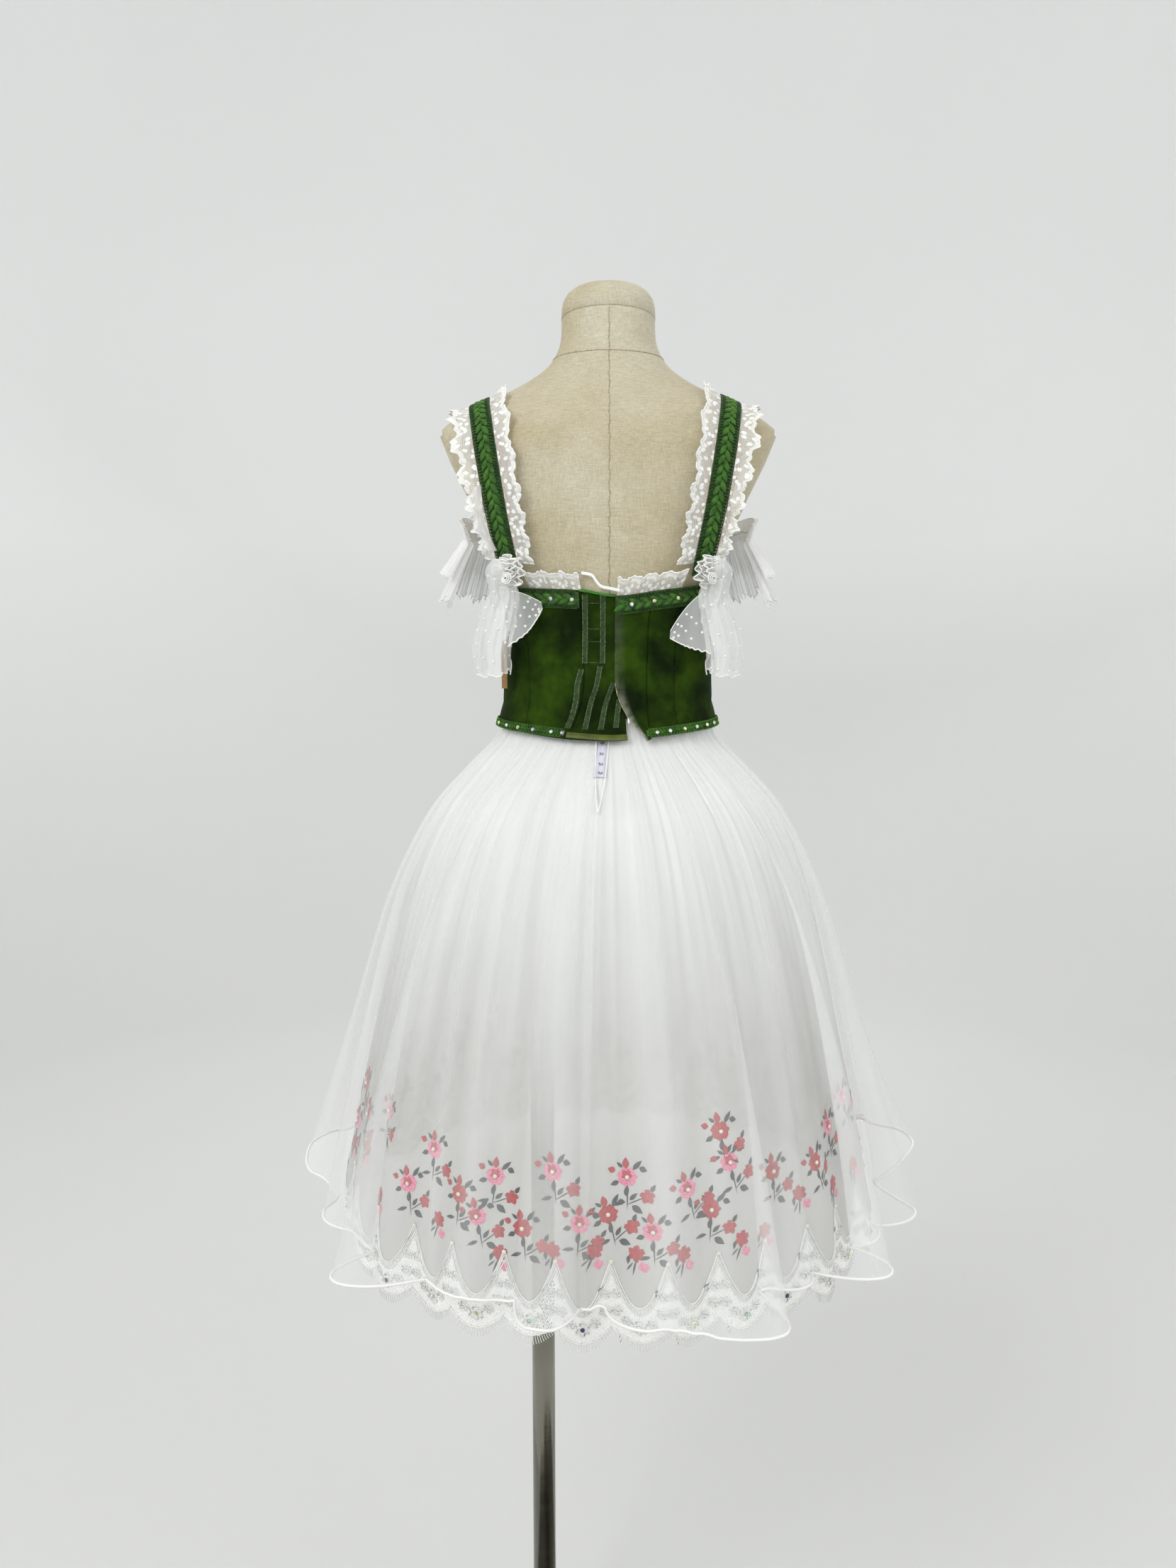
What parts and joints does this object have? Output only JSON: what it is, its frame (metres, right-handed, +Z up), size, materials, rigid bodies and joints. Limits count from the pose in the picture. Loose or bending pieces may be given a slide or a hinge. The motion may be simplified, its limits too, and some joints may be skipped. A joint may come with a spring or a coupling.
{
  "type": "ballet dress on a dress form",
  "caption": "Knee-length ballet dress with a velvet bodice, braid straps, off-the-shoulder net sleeves and layered sheer skirts, on a limbless dress form with a pole stand.",
  "frame": {"origin": "centre of the base plate's underside, on the floor; the torso's axis is straight above it", "axes": "+Z up, -Y towards the back of the dress, +X towards the dress's own right side seen from the back"},
  "size_m": [0.7406, 0.6875, 1.785],
  "materials": {
    "velvet": "dark green crushed velvet",
    "braid": "green chenille braid with looped edges",
    "binding": "olive satin binding",
    "lace": "white lace",
    "organza": "sheer white organza",
    "flower_net": "white net with embroidered flowers",
    "tulle": "soft white tulle",
    "tape": "woven cotton tape",
    "elastic": "nude woven elastic",
    "linen": "plain woven cover cloth",
    "steel": "satin steel",
    "stone": "cut glass stones",
    "pearl": "pearl beads",
    "thread": "sewing and embroidery thread"
  },
  "bodies": {
    "root": {"base_plate": "steel", "base_collar": "steel", "pole": "steel", "pole_flange": "steel", "form_torso": "linen", "form_arm_plate_left": "linen", "form_arm_plate_right": "linen", "form_neck_cap": "linen", "bodice_back_left": "velvet", "bodice_placket": "velvet", "bodice_side_left": "velvet", "bodice_side_front_left": "velvet", "bodice_back_right": "velvet", "bodice_side_back_right": "velvet", "bodice_side_right": "velvet", "bodice_side_front_right": "velvet", "bodice_front": "velvet", "braid_top_back_left": "braid", "braid_top_back_right": "braid", "braid_top_front": "braid", "braid_bottom_back_left": "braid", "braid_bottom_back_right": "braid", "braid_bottom_front": "braid", "binding_placket": "binding", "strap_left": "braid", "strap_right": "braid", "lace_strap_left_inner": "lace", "lace_strap_left_outer": "lace", "lace_strap_right_inner": "lace", "lace_strap_right_outer": "lace", "lace_top_back_left": "lace", "lace_top_back_right": "lace", "lace_top_front": "lace", "sleeve_frill_left": "tulle", "sleeve_frill_right": "tulle", "sleeve_drape_left": "tulle", "sleeve_drape_right": "tulle", "sleeve_flap_left": "tulle", "sleeve_flap_right": "tulle", "elastic_nude": "elastic", "overskirt": "organza", "flower_skirt": "flower_net", "lace_border_left": "lace", "lace_border_right": "lace", "petticoat": "tulle", "waistband": "tape", "back_tape": "tape"}
  },
  "joints": []
}
